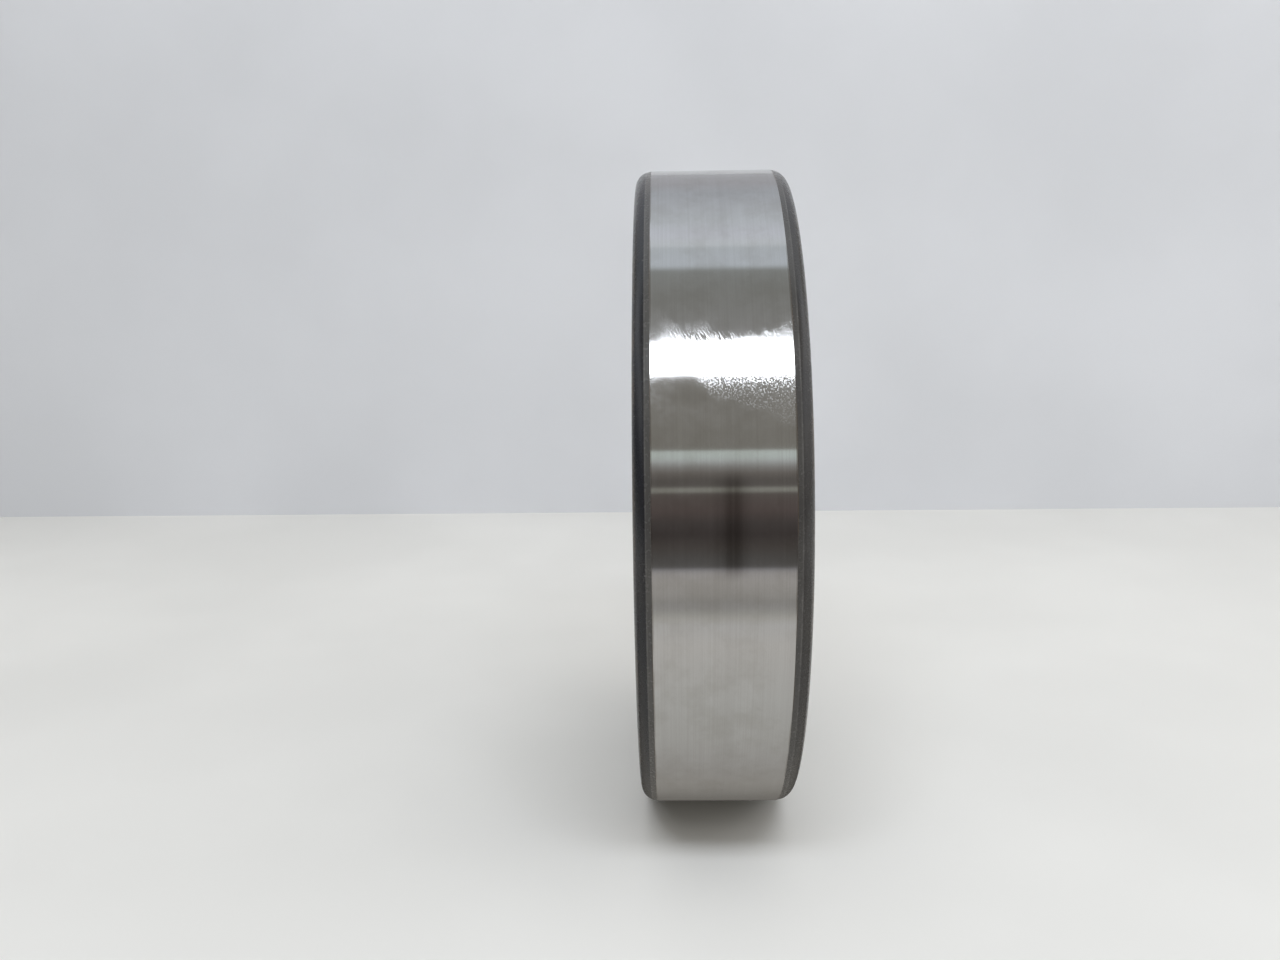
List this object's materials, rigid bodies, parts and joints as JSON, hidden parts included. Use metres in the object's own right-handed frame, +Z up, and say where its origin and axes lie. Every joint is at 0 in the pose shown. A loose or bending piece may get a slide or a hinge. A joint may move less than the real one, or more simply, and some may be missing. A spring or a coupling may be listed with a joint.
{
  "type": "spherical roller bearing",
  "caption": "Open self-aligning roller bearing: barrel rollers in pressed steel cages between a ring with a spherical raceway and an inner ring with a cylindrical bore.",
  "frame": {"origin": "centre of the bearing, on its axis and midway between its faces", "axes": "+Y along the bore, +Z up, so that the bearing stands on its rim; the row of rollers at +Y is the right row"},
  "size_m": [0.18, 0.041, 0.18],
  "materials": {
    "ring_steel": "ground and lightly oiled, with black heat-treatment scale left on the outer ring's corners",
    "roller_steel": "superfinished barrel, ground ends",
    "cage_steel": "pressed sheet, dark hardened surface",
    "guide_steel": "turned, dull grey"
  },
  "bodies": {
    "outer_ring": {"outer_ring": "ring_steel"},
    "inner_ring": {"inner_ring": "ring_steel"},
    "guide_ring": {"guide_ring": "guide_steel"},
    "cage_left": {"cage_left": "cage_steel"},
    "cage_right": {"cage_right": "cage_steel"},
    "roller_left_01": {"roller_left_01": "roller_steel"},
    "roller_left_02": {"roller_left_02": "roller_steel"},
    "roller_left_03": {"roller_left_03": "roller_steel"},
    "roller_left_04": {"roller_left_04": "roller_steel"},
    "roller_left_05": {"roller_left_05": "roller_steel"},
    "roller_left_06": {"roller_left_06": "roller_steel"},
    "roller_left_07": {"roller_left_07": "roller_steel"},
    "roller_left_08": {"roller_left_08": "roller_steel"},
    "roller_left_09": {"roller_left_09": "roller_steel"},
    "roller_left_10": {"roller_left_10": "roller_steel"},
    "roller_left_11": {"roller_left_11": "roller_steel"},
    "roller_left_12": {"roller_left_12": "roller_steel"},
    "roller_left_13": {"roller_left_13": "roller_steel"},
    "roller_left_14": {"roller_left_14": "roller_steel"},
    "roller_left_15": {"roller_left_15": "roller_steel"},
    "roller_left_16": {"roller_left_16": "roller_steel"},
    "roller_left_17": {"roller_left_17": "roller_steel"},
    "roller_left_18": {"roller_left_18": "roller_steel"},
    "roller_right_01": {"roller_right_01": "roller_steel"},
    "roller_right_02": {"roller_right_02": "roller_steel"},
    "roller_right_03": {"roller_right_03": "roller_steel"},
    "roller_right_04": {"roller_right_04": "roller_steel"},
    "roller_right_05": {"roller_right_05": "roller_steel"},
    "roller_right_06": {"roller_right_06": "roller_steel"},
    "roller_right_07": {"roller_right_07": "roller_steel"},
    "roller_right_08": {"roller_right_08": "roller_steel"},
    "roller_right_09": {"roller_right_09": "roller_steel"},
    "roller_right_10": {"roller_right_10": "roller_steel"},
    "roller_right_11": {"roller_right_11": "roller_steel"},
    "roller_right_12": {"roller_right_12": "roller_steel"},
    "roller_right_13": {"roller_right_13": "roller_steel"},
    "roller_right_14": {"roller_right_14": "roller_steel"},
    "roller_right_15": {"roller_right_15": "roller_steel"},
    "roller_right_16": {"roller_right_16": "roller_steel"},
    "roller_right_17": {"roller_right_17": "roller_steel"},
    "roller_right_18": {"roller_right_18": "roller_steel"}
  },
  "joints": [
    {"name": "swivel", "type": "hinge", "parent": "outer_ring", "child": "guide_ring", "pos_m": [0, 0, 0], "axis": [1, 0, 0], "range_deg": [-90, 90]},
    {"name": "inner_spin", "type": "hinge", "parent": "guide_ring", "child": "inner_ring", "pos_m": [0, 0, 0], "axis": [0, 1, 0], "continuous": true},
    {"name": "cage_left_spin", "type": "hinge", "parent": "guide_ring", "child": "cage_left", "pos_m": [0, 0, 0], "axis": [0, 1, 0], "continuous": true},
    {"name": "cage_right_spin", "type": "hinge", "parent": "guide_ring", "child": "cage_right", "pos_m": [0, 0, 0], "axis": [0, 1, 0], "continuous": true},
    {"name": "roller_left_01_spin", "type": "hinge", "parent": "cage_left", "child": "roller_left_01", "pos_m": [0.01163, -0.00985, 0.06598], "axis": [0.0253, 0.9894, 0.1432], "continuous": true},
    {"name": "roller_left_02_spin", "type": "hinge", "parent": "cage_left", "child": "roller_left_02", "pos_m": [0.0335, -0.00985, 0.05802], "axis": [0.0727, 0.9894, 0.126], "continuous": true},
    {"name": "roller_left_03_spin", "type": "hinge", "parent": "cage_left", "child": "roller_left_03", "pos_m": [0.05132, -0.00985, 0.04307], "axis": [0.1114, 0.9894, 0.0935], "continuous": true},
    {"name": "roller_left_04_spin", "type": "hinge", "parent": "cage_left", "child": "roller_left_04", "pos_m": [0.06296, -0.00985, 0.02292], "axis": [0.1367, 0.9894, 0.0497], "continuous": true},
    {"name": "roller_left_05_spin", "type": "hinge", "parent": "cage_left", "child": "roller_left_05", "pos_m": [0.067, -0.00985, 0], "axis": [0.1455, 0.9894, 0], "continuous": true},
    {"name": "roller_left_06_spin", "type": "hinge", "parent": "cage_left", "child": "roller_left_06", "pos_m": [0.06296, -0.00985, -0.02292], "axis": [0.1367, 0.9894, -0.0497], "continuous": true},
    {"name": "roller_left_07_spin", "type": "hinge", "parent": "cage_left", "child": "roller_left_07", "pos_m": [0.05132, -0.00985, -0.04307], "axis": [0.1114, 0.9894, -0.0935], "continuous": true},
    {"name": "roller_left_08_spin", "type": "hinge", "parent": "cage_left", "child": "roller_left_08", "pos_m": [0.0335, -0.00985, -0.05802], "axis": [0.0727, 0.9894, -0.126], "continuous": true},
    {"name": "roller_left_09_spin", "type": "hinge", "parent": "cage_left", "child": "roller_left_09", "pos_m": [0.01163, -0.00985, -0.06598], "axis": [0.0253, 0.9894, -0.1432], "continuous": true},
    {"name": "roller_left_10_spin", "type": "hinge", "parent": "cage_left", "child": "roller_left_10", "pos_m": [-0.01163, -0.00985, -0.06598], "axis": [-0.0253, 0.9894, -0.1432], "continuous": true},
    {"name": "roller_left_11_spin", "type": "hinge", "parent": "cage_left", "child": "roller_left_11", "pos_m": [-0.0335, -0.00985, -0.05802], "axis": [-0.0727, 0.9894, -0.126], "continuous": true},
    {"name": "roller_left_12_spin", "type": "hinge", "parent": "cage_left", "child": "roller_left_12", "pos_m": [-0.05132, -0.00985, -0.04307], "axis": [-0.1114, 0.9894, -0.0935], "continuous": true},
    {"name": "roller_left_13_spin", "type": "hinge", "parent": "cage_left", "child": "roller_left_13", "pos_m": [-0.06296, -0.00985, -0.02292], "axis": [-0.1367, 0.9894, -0.0497], "continuous": true},
    {"name": "roller_left_14_spin", "type": "hinge", "parent": "cage_left", "child": "roller_left_14", "pos_m": [-0.067, -0.00985, 0], "axis": [-0.1455, 0.9894, 0], "continuous": true},
    {"name": "roller_left_15_spin", "type": "hinge", "parent": "cage_left", "child": "roller_left_15", "pos_m": [-0.06296, -0.00985, 0.02292], "axis": [-0.1367, 0.9894, 0.0497], "continuous": true},
    {"name": "roller_left_16_spin", "type": "hinge", "parent": "cage_left", "child": "roller_left_16", "pos_m": [-0.05132, -0.00985, 0.04307], "axis": [-0.1114, 0.9894, 0.0935], "continuous": true},
    {"name": "roller_left_17_spin", "type": "hinge", "parent": "cage_left", "child": "roller_left_17", "pos_m": [-0.0335, -0.00985, 0.05802], "axis": [-0.0727, 0.9894, 0.126], "continuous": true},
    {"name": "roller_left_18_spin", "type": "hinge", "parent": "cage_left", "child": "roller_left_18", "pos_m": [-0.01163, -0.00985, 0.06598], "axis": [-0.0253, 0.9894, 0.1432], "continuous": true},
    {"name": "roller_right_01_spin", "type": "hinge", "parent": "cage_right", "child": "roller_right_01", "pos_m": [0, 0.00985, 0.067], "axis": [0, 0.9894, -0.1455], "continuous": true},
    {"name": "roller_right_02_spin", "type": "hinge", "parent": "cage_right", "child": "roller_right_02", "pos_m": [0.02292, 0.00985, 0.06296], "axis": [-0.0497, 0.9894, -0.1367], "continuous": true},
    {"name": "roller_right_03_spin", "type": "hinge", "parent": "cage_right", "child": "roller_right_03", "pos_m": [0.04307, 0.00985, 0.05132], "axis": [-0.0935, 0.9894, -0.1114], "continuous": true},
    {"name": "roller_right_04_spin", "type": "hinge", "parent": "cage_right", "child": "roller_right_04", "pos_m": [0.05802, 0.00985, 0.0335], "axis": [-0.126, 0.9894, -0.0727], "continuous": true},
    {"name": "roller_right_05_spin", "type": "hinge", "parent": "cage_right", "child": "roller_right_05", "pos_m": [0.06598, 0.00985, 0.01163], "axis": [-0.1432, 0.9894, -0.0253], "continuous": true},
    {"name": "roller_right_06_spin", "type": "hinge", "parent": "cage_right", "child": "roller_right_06", "pos_m": [0.06598, 0.00985, -0.01163], "axis": [-0.1432, 0.9894, 0.0253], "continuous": true},
    {"name": "roller_right_07_spin", "type": "hinge", "parent": "cage_right", "child": "roller_right_07", "pos_m": [0.05802, 0.00985, -0.0335], "axis": [-0.126, 0.9894, 0.0727], "continuous": true},
    {"name": "roller_right_08_spin", "type": "hinge", "parent": "cage_right", "child": "roller_right_08", "pos_m": [0.04307, 0.00985, -0.05132], "axis": [-0.0935, 0.9894, 0.1114], "continuous": true},
    {"name": "roller_right_09_spin", "type": "hinge", "parent": "cage_right", "child": "roller_right_09", "pos_m": [0.02292, 0.00985, -0.06296], "axis": [-0.0497, 0.9894, 0.1367], "continuous": true},
    {"name": "roller_right_10_spin", "type": "hinge", "parent": "cage_right", "child": "roller_right_10", "pos_m": [0, 0.00985, -0.067], "axis": [0, 0.9894, 0.1455], "continuous": true},
    {"name": "roller_right_11_spin", "type": "hinge", "parent": "cage_right", "child": "roller_right_11", "pos_m": [-0.02292, 0.00985, -0.06296], "axis": [0.0497, 0.9894, 0.1367], "continuous": true},
    {"name": "roller_right_12_spin", "type": "hinge", "parent": "cage_right", "child": "roller_right_12", "pos_m": [-0.04307, 0.00985, -0.05132], "axis": [0.0935, 0.9894, 0.1114], "continuous": true},
    {"name": "roller_right_13_spin", "type": "hinge", "parent": "cage_right", "child": "roller_right_13", "pos_m": [-0.05802, 0.00985, -0.0335], "axis": [0.126, 0.9894, 0.0727], "continuous": true},
    {"name": "roller_right_14_spin", "type": "hinge", "parent": "cage_right", "child": "roller_right_14", "pos_m": [-0.06598, 0.00985, -0.01163], "axis": [0.1432, 0.9894, 0.0253], "continuous": true},
    {"name": "roller_right_15_spin", "type": "hinge", "parent": "cage_right", "child": "roller_right_15", "pos_m": [-0.06598, 0.00985, 0.01163], "axis": [0.1432, 0.9894, -0.0253], "continuous": true},
    {"name": "roller_right_16_spin", "type": "hinge", "parent": "cage_right", "child": "roller_right_16", "pos_m": [-0.05802, 0.00985, 0.0335], "axis": [0.126, 0.9894, -0.0727], "continuous": true},
    {"name": "roller_right_17_spin", "type": "hinge", "parent": "cage_right", "child": "roller_right_17", "pos_m": [-0.04307, 0.00985, 0.05132], "axis": [0.0935, 0.9894, -0.1114], "continuous": true},
    {"name": "roller_right_18_spin", "type": "hinge", "parent": "cage_right", "child": "roller_right_18", "pos_m": [-0.02292, 0.00985, 0.06296], "axis": [0.0497, 0.9894, -0.1367], "continuous": true}
  ],
  "couplings": [
    {"joint": "cage_left_spin", "follows": "inner_spin", "ratio": 0.42617},
    {"joint": "cage_right_spin", "follows": "inner_spin", "ratio": 0.42617},
    {"joint": "roller_left_01_spin", "follows": "inner_spin", "ratio": -3.2771},
    {"joint": "roller_left_02_spin", "follows": "inner_spin", "ratio": -3.2771},
    {"joint": "roller_left_03_spin", "follows": "inner_spin", "ratio": -3.2771},
    {"joint": "roller_left_04_spin", "follows": "inner_spin", "ratio": -3.2771},
    {"joint": "roller_left_05_spin", "follows": "inner_spin", "ratio": -3.2771},
    {"joint": "roller_left_06_spin", "follows": "inner_spin", "ratio": -3.2771},
    {"joint": "roller_left_07_spin", "follows": "inner_spin", "ratio": -3.2771},
    {"joint": "roller_left_08_spin", "follows": "inner_spin", "ratio": -3.2771},
    {"joint": "roller_left_09_spin", "follows": "inner_spin", "ratio": -3.2771},
    {"joint": "roller_left_10_spin", "follows": "inner_spin", "ratio": -3.2771},
    {"joint": "roller_left_11_spin", "follows": "inner_spin", "ratio": -3.2771},
    {"joint": "roller_left_12_spin", "follows": "inner_spin", "ratio": -3.2771},
    {"joint": "roller_left_13_spin", "follows": "inner_spin", "ratio": -3.2771},
    {"joint": "roller_left_14_spin", "follows": "inner_spin", "ratio": -3.2771},
    {"joint": "roller_left_15_spin", "follows": "inner_spin", "ratio": -3.2771},
    {"joint": "roller_left_16_spin", "follows": "inner_spin", "ratio": -3.2771},
    {"joint": "roller_left_17_spin", "follows": "inner_spin", "ratio": -3.2771},
    {"joint": "roller_left_18_spin", "follows": "inner_spin", "ratio": -3.2771},
    {"joint": "roller_right_01_spin", "follows": "inner_spin", "ratio": -3.2771},
    {"joint": "roller_right_02_spin", "follows": "inner_spin", "ratio": -3.2771},
    {"joint": "roller_right_03_spin", "follows": "inner_spin", "ratio": -3.2771},
    {"joint": "roller_right_04_spin", "follows": "inner_spin", "ratio": -3.2771},
    {"joint": "roller_right_05_spin", "follows": "inner_spin", "ratio": -3.2771},
    {"joint": "roller_right_06_spin", "follows": "inner_spin", "ratio": -3.2771},
    {"joint": "roller_right_07_spin", "follows": "inner_spin", "ratio": -3.2771},
    {"joint": "roller_right_08_spin", "follows": "inner_spin", "ratio": -3.2771},
    {"joint": "roller_right_09_spin", "follows": "inner_spin", "ratio": -3.2771},
    {"joint": "roller_right_10_spin", "follows": "inner_spin", "ratio": -3.2771},
    {"joint": "roller_right_11_spin", "follows": "inner_spin", "ratio": -3.2771},
    {"joint": "roller_right_12_spin", "follows": "inner_spin", "ratio": -3.2771},
    {"joint": "roller_right_13_spin", "follows": "inner_spin", "ratio": -3.2771},
    {"joint": "roller_right_14_spin", "follows": "inner_spin", "ratio": -3.2771},
    {"joint": "roller_right_15_spin", "follows": "inner_spin", "ratio": -3.2771},
    {"joint": "roller_right_16_spin", "follows": "inner_spin", "ratio": -3.2771},
    {"joint": "roller_right_17_spin", "follows": "inner_spin", "ratio": -3.2771},
    {"joint": "roller_right_18_spin", "follows": "inner_spin", "ratio": -3.2771}
  ]
}
